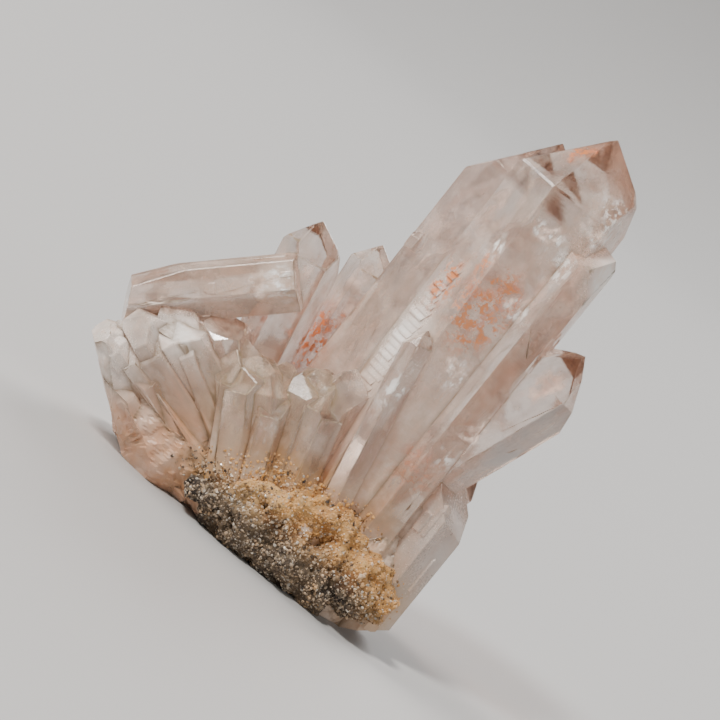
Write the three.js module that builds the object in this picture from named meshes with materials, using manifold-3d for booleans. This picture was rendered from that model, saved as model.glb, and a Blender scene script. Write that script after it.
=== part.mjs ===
// Cluster of pale pink quartz points grown together on a massive root, with granular matrix on the
// lower front. Millimetres, +Z up. The cluster stands on the flat spot under its root. While it is
// laid out, X runs right from the left end of the root, -Y is the side that shows the big points,
// and Z is the height over the surface that it stands on. The end of the file centres it.
import * as THREE from 'three';
import { mergeVertices } from 'three/addons/utils/BufferGeometryUtils.js';
import Module from 'manifold-3d';

const wasm = await Module();
wasm.setup();

const degrees = Math.PI / 180;
// Angle between a quartz point's axis and the normal of each of its six end faces.
const endFaceAngle = 51.8 * degrees;
// The matrix stops this far from the quartz.
const gap = 0.3;

const sub = (a, b) => a.map((v, i) => v - b[i]);
const add = (a, b) => a.map((v, i) => v + b[i]);
const scale = (a, s) => a.map((v) => v * s);
const dot = (a, b) => a[0] * b[0] + a[1] * b[1] + a[2] * b[2];
const cross = (a, b) => [a[1] * b[2] - a[2] * b[1], a[2] * b[0] - a[0] * b[2], a[0] * b[1] - a[1] * b[0]];
const unit = (a) => scale(a, 1 / Math.hypot(...a));

// A plane keeps the points p with dot(n, p) <= d.
const planeAt = (normal, point) => {
  const n = unit(normal);
  return { n, d: dot(n, point) };
};

function solidFrom(positions, triangles) {
  const mesh = new wasm.Mesh({
    numProp: 3,
    vertProperties: new Float32Array(positions.flat()),
    triVerts: new Uint32Array(triangles.flat()),
  });
  return new wasm.Manifold(mesh);
}

// The corners that a set of planes encloses, and a fan of triangles on each plane.
function polytope(planes) {
  const corners = [];
  for (let i = 0; i < planes.length; i += 1) {
    for (let j = i + 1; j < planes.length; j += 1) {
      for (let k = j + 1; k < planes.length; k += 1) {
        const [a, b, c] = [planes[i], planes[j], planes[k]];
        const det = dot(a.n, cross(b.n, c.n));
        if (Math.abs(det) < 1e-6) continue;
        const sum = add(add(scale(cross(b.n, c.n), a.d), scale(cross(c.n, a.n), b.d)), scale(cross(a.n, b.n), c.d));
        const p = scale(sum, 1 / det);
        if (planes.some((q) => dot(q.n, p) > q.d + 1e-4)) continue;
        if (corners.some((q) => Math.hypot(...sub(p, q)) < 1e-3)) continue;
        corners.push(p);
      }
    }
  }
  const triangles = [];
  for (const plane of planes) {
    const on = corners.map((p, i) => i).filter((i) => Math.abs(dot(plane.n, corners[i]) - plane.d) < 2e-3);
    if (on.length < 3) continue;
    const middle = scale(on.reduce((s, i) => add(s, corners[i]), [0, 0, 0]), 1 / on.length);
    const u = unit(sub(corners[on[0]], middle));
    const v = cross(plane.n, u);
    const turn = (i) => Math.atan2(dot(v, sub(corners[i], middle)), dot(u, sub(corners[i], middle)));
    on.sort((i, j) => turn(i) - turn(j));
    for (let i = 1; i + 1 < on.length; i += 1) triangles.push([on[0], on[i], on[i + 1]]);
  }
  return solidFrom(corners, triangles);
}

// A quartz point. root and tip are on its axis. sides are the distances of its six upright faces
// from the axis, from the one facing the front and then round by the right, and turn is how far
// that first face is turned to the right. rises say how far above the tip each end face would
// meet the axis: a face with more rise is smaller. cuts are broken faces: a normal and a point.
function crystalPlanes({ root, tip, turn = 0, sides, rises, cuts = [] }, grow = 0) {
  const axis = unit(sub(tip, root));
  const front = unit(sub([0, -1, 0], scale(axis, -axis[1])));
  const right = cross(axis, front);
  const planes = [planeAt(scale(axis, -1), sub(root, scale(axis, grow)))];
  for (let k = 0; k < 6; k += 1) {
    const angle = (60 * k + turn) * degrees;
    const out = add(scale(front, Math.cos(angle)), scale(right, Math.sin(angle)));
    planes.push(planeAt(out, add(root, scale(out, sides[k] + grow))));
    const slant = add(scale(out, Math.sin(endFaceAngle)), scale(axis, Math.cos(endFaceAngle)));
    const end = planeAt(slant, add(tip, scale(axis, rises[k])));
    planes.push({ n: end.n, d: end.d + grow });
  }
  for (const [normal, point] of cuts) {
    const cut = planeAt(normal, point);
    planes.push({ n: cut.n, d: cut.d + grow });
  }
  return planes;
}

// Smooth noise from -1 to 1 on a lattice of cells of size 1.
function hash(x, y, z, seed) {
  const s = Math.sin(x * 127.1 + y * 311.7 + z * 74.7 + seed * 53.3) * 43758.5453;
  return (s - Math.floor(s)) * 2 - 1;
}

function noise([x, y, z], seed) {
  const [i, j, k] = [x, y, z].map(Math.floor);
  const [u, v, w] = [x - i, y - j, z - k].map((t) => t * t * (3 - 2 * t));
  const mix = (a, b, t) => a + (b - a) * t;
  const row = (jj, kk) => mix(hash(i, jj, kk, seed), hash(i + 1, jj, kk, seed), u);
  return mix(mix(row(j, k), row(j + 1, k), v), mix(row(j, k + 1), row(j + 1, k + 1), v), w);
}

// A rough lump: a ball stretched to radii and roughened by noise of two sizes.
function lump({ middle, radii, detail, coarse, fine, seed }, grow = 0) {
  const ball = new THREE.IcosahedronGeometry(1, detail);
  ball.deleteAttribute('normal');
  ball.deleteAttribute('uv');
  const welded = mergeVertices(ball, 1e-4);
  const at = welded.getAttribute('position');
  const positions = [];
  for (let i = 0; i < at.count; i += 1) {
    const way = unit([at.getX(i), at.getY(i), at.getZ(i)]);
    const p = way.map((v, k) => v * radii[k]);
    const swell = coarse.height * noise(scale(p, 1 / coarse.size), seed)
      + fine.height * noise(scale(p, 1 / fine.size), seed + 7);
    positions.push(add(middle, add(p, scale(way, swell + grow))));
  }
  const index = Array.from(welded.index.array);
  const triangles = [];
  for (let i = 0; i < index.length; i += 3) triangles.push([index[i], index[i + 1], index[i + 2]]);
  return solidFrom(positions, triangles);
}

// The big points, named as they stand from the left end to the right.
const points = {
  lyingPoint: {
    root: [17.2, -3, 41.2], tip: [-8.4, -1, 16.8], turn: 20,
    sides: [4.6, 4.4, 4.4, 4.8, 4.6, 4.6], rises: [1, 1, 1, 1.5, 1, 1],
    cuts: [[[-0.9, -0.2, -0.41], [-4.3, -2, 22]], [[-0.8, -0.24, 0.56], [-3.1, -2, 26.6]]],
  },
  uprightPoint: {
    root: [20.4, 2.5, 14], tip: [13.8, 2, 51], turn: 12,
    sides: [5.2, 5.8, 6, 5.4, 4, 3.8], rises: [0, 3.2, 0.2, 2, -0.4, 0.4],
  },
  backPoint: {
    root: [28.4, 10, 14], tip: [24.8, 9.6, 53.2], turn: 8,
    sides: [3.9, 3.9, 4.1, 4.2, 3.8, 3.7], rises: [0, 1.6, -0.6, 2.4, 0.6, 1],
  },
  companionPoint: {
    root: [36.4, 5.4, 14], tip: [37, 5, 85.6], turn: 28,
    sides: [8, 8.2, 8.4, 8.2, 9.6, 7.4], rises: [0.6, 2, 0, 0.4, -0.8, 0.6],
  },
  mainPoint: {
    root: [45.4, 1, 8], tip: [44.3, 0, 91.7], turn: 12,
    sides: [9.2, 9.4, 9.6, 9.4, 9.8, 9.8], rises: [0, 5, 0, 2.4, 0, 0.8],
  },
  satellitePoint: {
    root: [51.4, -3.6, 10], tip: [52.2, -4, 79.5], turn: 20,
    sides: [5.6, 4.8, 5, 5, 5, 5], rises: [0, 2, 0, 2, 0, 1],
    cuts: [[[-0.06, -0.5, 0.86], [52, -6, 74.6]], [[0.78, -0.56, 0.28], [56.8, -5.4, 71.6]]],
  },
  leaningPoint: {
    root: [41, 0, 3], tip: [62.4, -3.4, 60.4], turn: -6,
    sides: [5.2, 6.4, 8, 6.6, 8, 8.4], rises: [0, 1.8, -0.4, 2, 0.6, 1.6],
  },
  bladePoint: {
    root: [44.8, -9.2, 14], tip: [38.4, -9.4, 49], turn: 34,
    sides: [2.4, 2.4, 2.2, 2.2, 2.4, 2.6], rises: [0, 0.6, 0, 1, -1, 0],
  },
};

// Blocky points of the left mass and the stubs round the root. They end in broken faces.
const blocks = {
  leftSlab: {
    root: [20, -3, 7], tip: [-6, -6.6, 15.4], turn: -16,
    sides: [4.8, 4.2, 4.4, 5, 4.4, 4.2], rises: [2, 3, 1, 2, 2, 3],
    cuts: [[[-0.9, -0.36, 0.24], [-3.6, -7, 14.6]], [[-0.3, -0.3, 0.9], [-1.6, -7, 17.2]]],
  },
  lowSlab: {
    root: [24, -2, 2.4], tip: [0, -7, 9.8], turn: 10,
    sides: [5, 4, 4, 5, 4.2, 4.4], rises: [0, 2, 0, 2, 1, 1],
    cuts: [[[-0.7, -0.36, -0.62], [4.6, -7, 4.4]]],
  },
  peachColumn: {
    root: [24, -4, 9.4], tip: [-1.6, -8.6, 21.6], turn: -20,
    sides: [4.4, 3.4, 3.6, 4.4, 3.6, 3.4], rises: [0, 1, 0, 2, 1, 2],
    cuts: [[[-0.82, -0.3, 0.48], [0, -9, 21.6]]],
  },
  brightColumn: {
    root: [26, -5, 13.6], tip: [1, -8.4, 25.6], turn: 22,
    sides: [4.2, 3.4, 3.6, 4, 3.4, 3.6], rises: [1, 0, 1, 1, 0, 2],
    cuts: [[[-0.3, -0.66, 0.69], [7.6, -11.2, 22.2]], [[-0.66, -0.44, 0.6], [2.6, -9.4, 24.8]]],
  },
  innerColumn: {
    root: [26, -3, 11], tip: [9, -5.4, 30.6], turn: 12,
    sides: [4.4, 4.2, 4.2, 4.2, 3.8, 3.8], rises: [0, 0, 1, 1, 0, 1],
    cuts: [[[-0.3, -0.42, 0.86], [11.6, -7, 27.4]]],
  },
  centreBlock: {
    root: [31.4, -6, 6], tip: [18, -8, 29], turn: -22,
    sides: [5.6, 5, 5, 5, 4.6, 4.4], rises: [0, 1, 2, 1, 0, 1],
    cuts: [[[-0.3, -0.5, 0.81], [18.4, -9.6, 25.4]]],
  },
  middleBlock: {
    root: [36.4, -5.6, 8], tip: [29, -7, 34], turn: -30,
    sides: [5, 4.6, 4.6, 5, 4.4, 4.2], rises: [0, 1.4, 1, 1, 0, 1],
    cuts: [[[-0.24, -0.56, 0.79], [30.4, -9, 30.4]]],
  },
  lowerBody: {
    root: [51, -1, -4], tip: [54, -0.6, 35], turn: 4,
    sides: [5.8, 9, 9, 9.6, 9, 9], rises: [-4, -3, -2, -2, -4, -4],
  },
  rightFlange: {
    root: [59, -1.4, -2], tip: [59.4, -2, 35.4], turn: -18,
    sides: [5.2, 5.2, 5.2, 5.4, 5, 5], rises: [0, 0, 0, 1, 1, 1],
    cuts: [[[0.62, -0.3, 0.72], [63, -4, 24.6]]],
  },
  shoulderBlock: {
    root: [26, 1, 6], tip: [-1, 1.4, 26], turn: 10,
    sides: [6.4, 6.2, 6, 6.4, 6.8, 6.4], rises: [0, 0, 1, 1, 0, 2],
    cuts: [[[-0.86, 0.2, 0.46], [0.6, 1, 22]], [[-0.3, 0.76, 0.58], [6, 6, 22]]],
  },
  backStub: {
    root: [40, 6, 6], tip: [45.6, 19.6, 34], turn: 10,
    sides: [5, 4.6, 4.8, 5, 4.6, 5], rises: [0, 1.6, 0, 2, 0, 1.4],
  },
  backShortPoint: {
    root: [30, 6, 4], tip: [18, 16.4, 29], turn: 24,
    sides: [4.6, 4.2, 4.4, 4.6, 4.2, 4.4], rises: [0, 1.8, 0, 1.6, 0, 1.8],
  },
  rightStub: {
    root: [49, 4, 6], tip: [60.4, 12, 33], turn: 30,
    sides: [4.4, 4.2, 4.4, 4.6, 4.2, 4.4], rises: [0, 1.2, 0, 1.6, 0, 1.8],
  },
  backLeftSlab: {
    root: [26, 3, 4], tip: [0.6, 10.4, 15.6], turn: 36,
    sides: [5.4, 5, 4.8, 5.2, 4.8, 5], rises: [1, 0, 1, 2, 0, 1],
    cuts: [[[-0.8, 0.5, 0.3], [2.6, 10, 14]]],
  },
  backLowSlab: {
    root: [30, 4, 2], tip: [10, 17, 10], turn: 12,
    sides: [5, 5, 4.6, 5, 4.6, 5], rises: [1, 0, 1, 1, 0, 1],
    cuts: [[[-0.5, 0.82, 0.28], [12.4, 14.6, 9]]],
  },
  backMiddleBlock: {
    root: [36, 2, -2], tip: [33, 18, 19], turn: 42,
    sides: [6, 5.6, 6, 6.2, 5.4, 6], rises: [0, 1, 2, 1, 0, 1],
    cuts: [[[-0.1, 0.72, 0.69], [33.4, 15.4, 17]]],
  },
  backRightBlock: {
    root: [50, 2, -2], tip: [55, 15.4, 19.6], turn: 4,
    sides: [6.4, 5.6, 6, 6.2, 5.8, 6], rises: [0, 1, 0, 1, 0, 1],
    cuts: [[[0.36, 0.7, 0.62], [54.6, 13, 16.6]]],
  },
  backFootBlock: {
    root: [44, 2, 4], tip: [45, 20, 6.4], turn: 20,
    sides: [6, 6.4, 6, 5.6, 6, 6.2], rises: [0, 1, 0, 1, 0, 1],
    cuts: [[[0.1, 0.98, 0.2], [45, 16.4, 6]]],
  },
};

// The massive root that the points grow from.
const rootLumps = [
  { middle: [14.6, 0, 7.6], radii: [15, 11, 8.4], detail: 7, seed: 3 },
  { middle: [36, 1, 10], radii: [19, 12.6, 14], detail: 8, seed: 11 },
  { middle: [52, 0, 9], radii: [10, 11, 13], detail: 7, seed: 19 },
].map((size) => ({ ...size, coarse: { size: 7, height: 1.8 }, fine: { size: 3, height: 0.8 } }));

// The underside is broken: a flat spot that the cluster stands on, and slanted breaks round it.
const floorPlane = [[0, 0, -1], [0, 0, 0]];
const breaks = [
  floorPlane,
  [[-0.62, -0.2, -0.76], [8, -4, 2.6]],
  [[-0.34, -0.74, -0.58], [11, -9.4, 5]],
  [[0.5, 0, -0.86], [60, 0, 1.4]],
  [[0.1, 0.62, -0.78], [34, 12, 0.6]],
];
const reach = 200;

// A big block that holds everything on the far side of one broken face.
function beyond([normal, point], grow = 0) {
  const n = unit(normal);
  const side = unit(cross(n, Math.abs(n[2]) < 0.9 ? [0, 0, 1] : [1, 0, 0]));
  const other = cross(n, side);
  const p = add(point, scale(n, grow));
  return polytope([
    planeAt(scale(n, -1), p),
    planeAt(n, add(p, scale(n, reach))),
    planeAt(side, add(p, scale(side, reach))),
    planeAt(scale(side, -1), sub(p, scale(side, reach))),
    planeAt(other, add(p, scale(other, reach))),
    planeAt(scale(other, -1), sub(p, scale(other, reach))),
  ]);
}

// Growth ledges across the main point's left front face, like low shingles.
const shingles = { face: 5, from: 24, to: 51, count: 15, proud: 0.4, halfWidth: 2.9, shift: -2.3 };

function ledges() {
  const { root, tip, turn, sides } = points.mainPoint;
  const axis = unit(sub(tip, root));
  const front = unit(sub([0, -1, 0], scale(axis, -axis[1])));
  const angle = (60 * shingles.face + turn) * degrees;
  const out = add(scale(front, Math.cos(angle)), scale(cross(axis, front), Math.sin(angle)));
  const across = cross(axis, out);
  const step = (shingles.to - shingles.from) / shingles.count;
  return Array.from({ length: shingles.count }, (_, i) => {
    const aside = scale(across, shingles.shift);
    const foot = add(add(root, aside), add(scale(axis, shingles.from + i * step), scale(out, sides[shingles.face])));
    const halfWidth = shingles.halfWidth * (1 - 0.35 * (i / shingles.count) ** 2);
    return polytope([
      planeAt(scale(out, -1), sub(foot, scale(out, 1))),
      planeAt(scale(axis, -1), foot),
      planeAt(add(scale(out, step), scale(axis, shingles.proud * 1.3)), add(foot, scale(out, shingles.proud))),
      planeAt(across, add(foot, scale(across, halfWidth))),
      planeAt(scale(across, -1), sub(foot, scale(across, halfWidth))),
      planeAt(axis, add(foot, scale(axis, step * 0.9))),
    ]);
  });
}

function quartz(grow = 0) {
  const bodies = [...Object.values(points), ...Object.values(blocks)].map((c) => polytope(crystalPlanes(c, grow)));
  const lumps = rootLumps.map((size) => lump(size, grow));
  let whole = wasm.Manifold.union([...bodies, ...lumps, ...ledges()]);
  for (const face of breaks) {
    const away = grow === 0 || face !== floorPlane ? grow : reach / 2;
    whole = whole.subtract(beyond(face, away));
  }
  return whole;
}

// Keeps the largest body, so that no crumb is left loose.
function largest(solid) {
  return solid.decompose().reduce((a, b) => (b.volume() > a.volume() ? b : a));
}

function matrix() {
  const grains = { coarse: { size: 4.2, height: 1.5 }, fine: { size: 1.7, height: 0.9 } };
  const front = lump({ middle: [44, -9.4, 8], radii: [19, 6, 9], detail: 13, seed: 29, ...grains });
  const low = lump({ middle: [34, -9, 5.4], radii: [11.6, 6.4, 6], detail: 9, seed: 41, ...grains });
  const outside = front.add(low).subtract(quartz(gap));
  return largest(outside.subtract(beyond(floorPlane)).subtract(beyond([[0, -0.7, -0.71], [40, -12.6, 1.2]])));
}

function meshOf(name, solid, material) {
  const { vertProperties, triVerts } = solid.getMesh();
  const geometry = new THREE.BufferGeometry();
  geometry.setAttribute('position', new THREE.BufferAttribute(new Float32Array(vertProperties), 3));
  geometry.setIndex(new THREE.BufferAttribute(new Uint32Array(triVerts), 1));
  const faceted = geometry.toNonIndexed();
  faceted.computeVertexNormals();
  const mesh = new THREE.Mesh(faceted, material);
  mesh.name = name;
  return mesh;
}

const quartzMaterial = new THREE.MeshStandardMaterial({
  color: 0xd9c9c0, roughness: 0.18, metalness: 0, transparent: true, opacity: 0.75,
});
const matrixMaterial = new THREE.MeshStandardMaterial({ color: 0x8c7656, roughness: 0.85, metalness: 0 });

const cluster = new THREE.Group();
cluster.add(meshOf('quartz_cluster', largest(quartz()), quartzMaterial));
cluster.add(meshOf('matrix_crust', matrix(), matrixMaterial));

// The origin is under the middle of the cluster, on the surface that it stands on.
const box = new THREE.Box3().setFromObject(cluster);
const middle = box.getCenter(new THREE.Vector3());
cluster.position.set(-middle.x, -middle.y, -box.min.z);

export default cluster;
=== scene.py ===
"""Looks of the pink quartz cluster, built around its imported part.

Tables hold millimetres in the cluster's own layout: X to the right from the root's left end,
-Y to the side shown, Z up from the floor. MIDDLE is where the part's origin lies in that layout.
A crystal's planes are written (n, d) and hold the points with n.p <= d.
"""

import itertools
import math

import bmesh
import bpy
import numpy as np
from mathutils import Matrix, Vector


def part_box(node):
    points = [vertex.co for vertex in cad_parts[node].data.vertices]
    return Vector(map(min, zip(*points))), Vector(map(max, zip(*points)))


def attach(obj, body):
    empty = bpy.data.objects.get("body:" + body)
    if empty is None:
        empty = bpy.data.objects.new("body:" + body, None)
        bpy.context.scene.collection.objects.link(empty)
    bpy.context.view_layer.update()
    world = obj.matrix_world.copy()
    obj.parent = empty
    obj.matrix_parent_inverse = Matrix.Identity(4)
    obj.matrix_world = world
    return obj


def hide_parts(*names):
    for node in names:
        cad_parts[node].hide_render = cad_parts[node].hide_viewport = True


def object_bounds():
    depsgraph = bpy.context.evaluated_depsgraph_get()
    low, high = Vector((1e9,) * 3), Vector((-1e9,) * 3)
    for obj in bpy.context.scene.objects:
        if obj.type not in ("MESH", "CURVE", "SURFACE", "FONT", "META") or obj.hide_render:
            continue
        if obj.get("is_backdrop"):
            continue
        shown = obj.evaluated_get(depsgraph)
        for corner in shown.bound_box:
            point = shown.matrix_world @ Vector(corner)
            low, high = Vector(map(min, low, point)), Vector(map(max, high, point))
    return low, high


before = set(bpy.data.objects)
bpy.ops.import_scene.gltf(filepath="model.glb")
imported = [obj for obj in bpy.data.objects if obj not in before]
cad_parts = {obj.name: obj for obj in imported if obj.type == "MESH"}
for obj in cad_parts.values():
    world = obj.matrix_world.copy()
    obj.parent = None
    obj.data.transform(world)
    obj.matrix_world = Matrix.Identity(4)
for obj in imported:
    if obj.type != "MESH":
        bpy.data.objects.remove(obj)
bounds_at_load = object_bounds()

MIDDLE = np.array((30.336, 3.052, 0.0))
MM = 0.001
END_FACE_ANGLE = math.radians(51.8)

# Rows of the tables of crystals: root, tip, turn, sides, rises and any cuts. root and tip lie on
# the axis. sides are the distances of the six upright faces from the axis, from the one facing
# the front and then round by the right, turned by turn degrees. rises say how far above the tip
# each end face would meet the axis. cuts are broken faces: outward normal and a point.
POINTS = {
    "lying_point": ((17.2, -3, 41.2), (-8.4, -1, 16.8), 20,
        (4.6, 4.4, 4.4, 4.8, 4.6, 4.6), (1, 1, 1, 1.5, 1, 1), ((-0.9, -0.2, -0.41), (-4.3, -2, 22)),
        ((-0.8, -0.24, 0.56), (-3.1, -2, 26.6))),
    "upright_point": ((20.4, 2.5, 14), (13.8, 2, 51), 12,
        (5.2, 5.8, 6, 5.4, 4, 3.8), (0, 3.2, 0.2, 2, -0.4, 0.4)),
    "back_point": ((28.4, 10, 14), (24.8, 9.6, 53.2), 8,
        (3.9, 3.9, 4.1, 4.2, 3.8, 3.7), (0, 1.6, -0.6, 2.4, 0.6, 1)),
    "companion_point": ((36.4, 5.4, 14), (37, 5, 85.6), 28,
        (8, 8.2, 8.4, 8.2, 9.6, 7.4), (0.6, 2, 0, 0.4, -0.8, 0.6)),
    "main_point": ((45.4, 1, 8), (44.3, 0, 91.7), 12,
        (9.2, 9.4, 9.6, 9.4, 9.8, 9.8), (0, 5, 0, 2.4, 0, 0.8)),
    "satellite_point": ((51.4, -3.6, 10), (52.2, -4, 79.5), 20,
        (5.6, 4.8, 5, 5, 5, 5), (0, 2, 0, 2, 0, 1), ((-0.06, -0.5, 0.86), (52, -6, 74.6)),
        ((0.78, -0.56, 0.28), (56.8, -5.4, 71.6))),
    "leaning_point": ((41, 0, 3), (62.4, -3.4, 60.4), -6,
        (5.2, 6.4, 8, 6.6, 8, 8.4), (0, 1.8, -0.4, 2, 0.6, 1.6)),
    "blade_point": ((44.8, -9.2, 14), (38.4, -9.4, 49), 34,
        (2.4, 2.4, 2.2, 2.2, 2.4, 2.6), (0, 0.6, 0, 1, -1, 0)),
}

BLOCKS = {
    "left_slab": ((20, -3, 7), (-6, -6.6, 15.4), -16,
        (4.8, 4.2, 4.4, 5, 4.4, 4.2), (2, 3, 1, 2, 2, 3), ((-0.9, -0.36, 0.24), (-3.6, -7, 14.6)),
        ((-0.3, -0.3, 0.9), (-1.6, -7, 17.2))),
    "low_slab": ((24, -2, 2.4), (0, -7, 9.8), 10,
        (5, 4, 4, 5, 4.2, 4.4), (0, 2, 0, 2, 1, 1), ((-0.7, -0.36, -0.62), (4.6, -7, 4.4))),
    "peach_column": ((24, -4, 9.4), (-1.6, -8.6, 21.6), -20,
        (4.4, 3.4, 3.6, 4.4, 3.6, 3.4), (0, 1, 0, 2, 1, 2), ((-0.82, -0.3, 0.48), (0, -9, 21.6))),
    "bright_column": ((26, -5, 13.6), (1, -8.4, 25.6), 22,
        (4.2, 3.4, 3.6, 4, 3.4, 3.6), (1, 0, 1, 1, 0, 2), ((-0.3, -0.66, 0.69), (7.6, -11.2, 22.2)),
        ((-0.66, -0.44, 0.6), (2.6, -9.4, 24.8))),
    "inner_column": ((26, -3, 11), (9, -5.4, 30.6), 12,
        (4.4, 4.2, 4.2, 4.2, 3.8, 3.8), (0, 0, 1, 1, 0, 1), ((-0.3, -0.42, 0.86), (11.6, -7, 27.4))),
    "centre_block": ((31.4, -6, 6), (18, -8, 29), -22,
        (5.6, 5, 5, 5, 4.6, 4.4), (0, 1, 2, 1, 0, 1), ((-0.3, -0.5, 0.81), (18.4, -9.6, 25.4))),
    "middle_block": ((36.4, -5.6, 8), (29, -7, 34), -30,
        (5, 4.6, 4.6, 5, 4.4, 4.2), (0, 1.4, 1, 1, 0, 1), ((-0.24, -0.56, 0.79), (30.4, -9, 30.4))),
    "lower_body": ((51, -1, -4), (54, -0.6, 35), 4,
        (5.8, 9, 9, 9.6, 9, 9), (-4, -3, -2, -2, -4, -4)),
    "right_flange": ((59, -1.4, -2), (59.4, -2, 35.4), -18,
        (5.2, 5.2, 5.2, 5.4, 5, 5), (0, 0, 0, 1, 1, 1), ((0.62, -0.3, 0.72), (63, -4, 24.6))),
    "shoulder_block": ((26, 1, 6), (-1, 1.4, 26), 10,
        (6.4, 6.2, 6, 6.4, 6.8, 6.4), (0, 0, 1, 1, 0, 2), ((-0.86, 0.2, 0.46), (0.6, 1, 22)),
        ((-0.3, 0.76, 0.58), (6, 6, 22))),
    "back_stub": ((40, 6, 6), (45.6, 19.6, 34), 10,
        (5, 4.6, 4.8, 5, 4.6, 5), (0, 1.6, 0, 2, 0, 1.4)),
    "back_short_point": ((30, 6, 4), (18, 16.4, 29), 24,
        (4.6, 4.2, 4.4, 4.6, 4.2, 4.4), (0, 1.8, 0, 1.6, 0, 1.8)),
    "right_stub": ((49, 4, 6), (60.4, 12, 33), 30,
        (4.4, 4.2, 4.4, 4.6, 4.2, 4.4), (0, 1.2, 0, 1.6, 0, 1.8)),
    "back_left_slab": ((26, 3, 4), (0.6, 10.4, 15.6), 36,
        (5.4, 5, 4.8, 5.2, 4.8, 5), (1, 0, 1, 2, 0, 1), ((-0.8, 0.5, 0.3), (2.6, 10, 14))),
    "back_low_slab": ((30, 4, 2), (10, 17, 10), 12,
        (5, 5, 4.6, 5, 4.6, 5), (1, 0, 1, 1, 0, 1), ((-0.5, 0.82, 0.28), (12.4, 14.6, 9))),
    "back_middle_block": ((36, 2, -2), (33, 18, 19), 42,
        (6, 5.6, 6, 6.2, 5.4, 6), (0, 1, 2, 1, 0, 1), ((-0.1, 0.72, 0.69), (33.4, 15.4, 17))),
    "back_right_block": ((50, 2, -2), (55, 15.4, 19.6), 4,
        (6.4, 5.6, 6, 6.2, 5.8, 6), (0, 1, 0, 1, 0, 1), ((0.36, 0.7, 0.62), (54.6, 13, 16.6))),
    "back_foot_block": ((44, 2, 4), (45, 20, 6.4), 20,
        (6, 6.4, 6, 5.6, 6, 6.2), (0, 1, 0, 1, 0, 1), ((0.1, 0.98, 0.2), (45, 16.4, 6))),
}

# Blocks that stand a little back between the columns of the left mass and the middle.
FILLERS = {
    "left_filler": ((25, -3, 9), (-2, -5.6, 17.4), -14,
        (6.5, 4.2, 4.4, 5, 4.2, 4.4), (2, 2, 1, 2, 2, 2), ((-0.9, -0.3, 0.3), (-2.4, -7, 16)),
        ((-0.3, -0.5, 0.8), (2, -8, 19.6))),
    "bright_filler": ((27, -4, 10), (4, -6.8, 24), 8,
        (6, 4, 4, 4.4, 4, 4), (1, 0, 1, 1, 0, 2), ((-0.45, -0.6, 0.66), (5, -10, 22))),
    "inner_filler": ((29, -4, 9), (13.5, -6.4, 28.6), -12,
        (6.2, 4.4, 4.4, 4.4, 4, 4), (0, 0, 1, 1, 0, 1), ((-0.35, -0.5, 0.79), (13, -9, 26))),
    "centre_filler": ((33, -5.4, 5), (23.4, -7, 30), 8,
        (6.8, 4.6, 5, 5, 4.6, 5), (0, 1, 2, 1, 0, 1), ((0.1, -0.6, 0.79), (24, -10, 26.4)),
        ((-0.6, -0.5, 0.62), (19.8, -10, 23))),
    "middle_filler": ((38, -5, 8), (33.4, -6, 36), 6,
        (5.8, 4, 4.4, 5, 4, 4), (0, 1.4, 1, 1, 0, 1), ((0.2, -0.66, 0.72), (34, -9, 32))),
    "centre_face": ((30, -6.4, 8), (19.5, -8.8, 28.4), -8,
        (4.4, 6.2, 5.6, 4, 5.6, 6.2), (0, 2, 1, 1, 1, 3), ((-0.3, -0.5, 0.81), (19, -9.6, 26.4)),
        ((-0.5, -0.8, 0.33), (17.6, -13.2, 23))),
    "middle_face": ((36.5, -6, 10), (30.4, -8.2, 33), -24,
        (4.4, 5.8, 5, 4, 5, 5.8), (0, 1, 1, 1, 2, 2), ((-0.24, -0.56, 0.79), (30.6, -9.6, 31))),
    "left_face": ((24, -4.6, 10), (0.6, -8.2, 18.6), -16,
        (4.2, 5.2, 4.6, 4, 4.6, 5.2), (0, 2, 1, 1, 1, 2), ((-0.85, -0.4, 0.34), (-1, -9, 17)),
        ((-0.3, -0.3, 0.9), (3, -9, 20.6))),
    "bright_face": ((26, -5.4, 15), (3, -8.2, 23.4), 10,
        (4.2, 4.8, 4.4, 4, 4.4, 4.8), (1, 0, 1, 1, 0, 2), ((-0.45, -0.66, 0.6), (5.6, -10.6, 21.6))),
    "left_step": ((20, -5, 8), (4, -9, 15), 12,
        (3.4, 3, 3, 3, 3, 3), (0, 1, 0, 1, 0, 1), ((-0.7, -0.6, 0.4), (5, -10.6, 14.6))),
}

# Lumps are stretched balls, each with the seed of its own noise.
ROOT_LUMPS = (
    {"middle": (14.6, 0, 7.6), "radii": (15, 11, 8.4), "seed": 3},
    {"middle": (36, 1, 10), "radii": (19, 12.6, 14), "seed": 11},
    {"middle": (52, 0, 9), "radii": (10, 11, 13), "seed": 19},
)
CRUST_LUMPS = (
    {"middle": (44, -9.4, 8), "radii": (19, 6, 9), "seed": 29},
    {"middle": (34, -9, 5.4), "radii": (11.6, 6.4, 6), "seed": 41},
)

# Broken faces of the underside: outward normal and a point on the face.
FLOOR = ((0, 0, -1), (0, 0, 0))
BREAKS = (
    FLOOR,
    ((-0.62, -0.2, -0.76), (8, -4, 2.6)),
    ((-0.34, -0.74, -0.58), (11, -9.4, 5)),
    ((0.5, 0, -0.86), (60, 0, 1.4)),
    ((0.1, 0.62, -0.78), (34, 12, 0.6)),
)
CRUST_BREAK = ((0, -0.7, -0.71), (40, -12.6, 1.2))

# Ribs of stepped growth on the main point's left front face.
RIBS = {"face": 5, "start": 20, "end": 53, "count": 27, "proud": 0.3, "half_width": 2.9, "shift": -2.3}

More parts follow.
